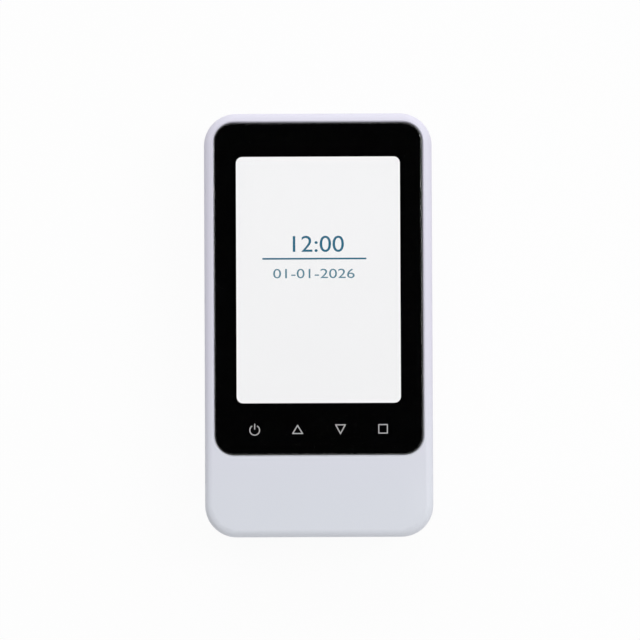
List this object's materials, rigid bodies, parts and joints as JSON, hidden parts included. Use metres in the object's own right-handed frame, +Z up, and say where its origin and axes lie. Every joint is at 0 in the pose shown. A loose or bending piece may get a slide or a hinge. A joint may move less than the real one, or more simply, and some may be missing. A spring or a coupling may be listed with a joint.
{
  "type": "urine analyzer",
  "caption": "Handheld strip reader: rounded white case, black-bordered portrait screen, printed touch keys below it, motorised strip tray in the bottom end, battery cover in the back.",
  "frame": {"origin": "under the middle of the body at the level of the feet, with the device lying on its back", "axes": "+X to the right seen from the front, +Y to the top end, +Z up out of the screen"},
  "size_m": [0.0678, 0.126, 0.0331],
  "materials": {
    "case_shell": "fine satin",
    "lens_clear": "polished",
    "lens_print": "printed, seen through the lens",
    "tape": "adhesive film",
    "foam": "closed-cell foam",
    "display_metal": "satin",
    "display_glass": "lit, with a plain clock and a scale of numbers",
    "flex_film": "smooth film",
    "board_green": "solder mask",
    "chip_black": "moulded",
    "socket_ivory": "moulded",
    "plated_steel": "bright plated",
    "foot_rubber": "matte",
    "battery_wrap": "satin foil",
    "connector_black": "moulded",
    "contact_gold": "gold plated",
    "chassis_grey": "moulded",
    "motor_can": "drawn",
    "pinion_brass": "cut",
    "gear_acetal": "moulded",
    "tray_grey": "fine satin",
    "holder_white": "smooth",
    "tile_white": "glazed",
    "head_black": "moulded",
    "small_glass": "polished",
    "lamp_resin": "clear resin"
  },
  "bodies": {
    "case": {"front_housing": "case_shell", "rear_housing": "case_shell", "front_lens": "lens_clear", "lens_mask": "lens_print", "lens_tape": "tape", "display_gasket": "foam", "display_frame": "display_metal", "display_cell": "display_glass", "display_ribbon": "flex_film", "touch_key_film": "flex_film", "battery_lead": "flex_film", "motor_lead": "flex_film", "head_ribbon": "flex_film", "sensor_lead": "flex_film", "main_board": "board_green", "optical_board": "board_green", "board_parts": "chip_black", "buzzer": "chip_black", "light_sensor": "chip_black", "board_sockets": "socket_ivory", "charging_socket": "plated_steel", "board_screws": "plated_steel", "case_screws": "plated_steel", "chassis_screws": "plated_steel", "motor_screws": "plated_steel", "head_screws": "plated_steel", "gear_pin": "plated_steel", "gear_clip": "plated_steel", "rubber_feet": "foot_rubber", "battery_pack": "battery_wrap", "battery_connector": "connector_black", "home_sensor": "connector_black", "battery_contacts": "contact_gold", "chassis": "chassis_grey", "drive_motor": "motor_can", "optical_head": "head_black", "optical_window": "small_glass", "lamps": "lamp_resin"},
    "tray": {"strip_tray": "tray_grey", "strip_holder": "holder_white", "white_reference": "tile_white", "tray_front": "case_shell"},
    "reduction_gear": {"double_gear": "gear_acetal"},
    "motor_rotor": {"motor_shaft": "plated_steel", "motor_pinion": "pinion_brass"},
    "cover": {"battery_cover": "case_shell"}
  },
  "joints": [
    {"name": "tray_slide", "type": "slide", "parent": "case", "child": "tray", "axis": [0, -1, 0], "range_m": [0, 0.072]},
    {"name": "reduction_gear_spin", "type": "hinge", "parent": "case", "child": "reduction_gear", "pos_m": [0.01395, -0.046, 0.0148], "axis": [0, 0, 1], "range_deg": [-10, 1190]},
    {"name": "motor_spin", "type": "hinge", "parent": "case", "child": "motor_rotor", "pos_m": [0.02244, -0.03751, 0.0171], "axis": [0, 0, 1], "range_deg": [-3560, 10]},
    {"name": "battery_cover_hinge", "type": "hinge", "parent": "case", "child": "cover", "pos_m": [0, 0.0455, 0.0008], "axis": [1, 0, 0], "range_deg": [0, 60]}
  ],
  "couplings": [
    {"joint": "reduction_gear_spin", "follows": "tray_slide", "rad_per_m": 285.71},
    {"joint": "motor_spin", "follows": "tray_slide", "rad_per_m": -857.14}
  ]
}
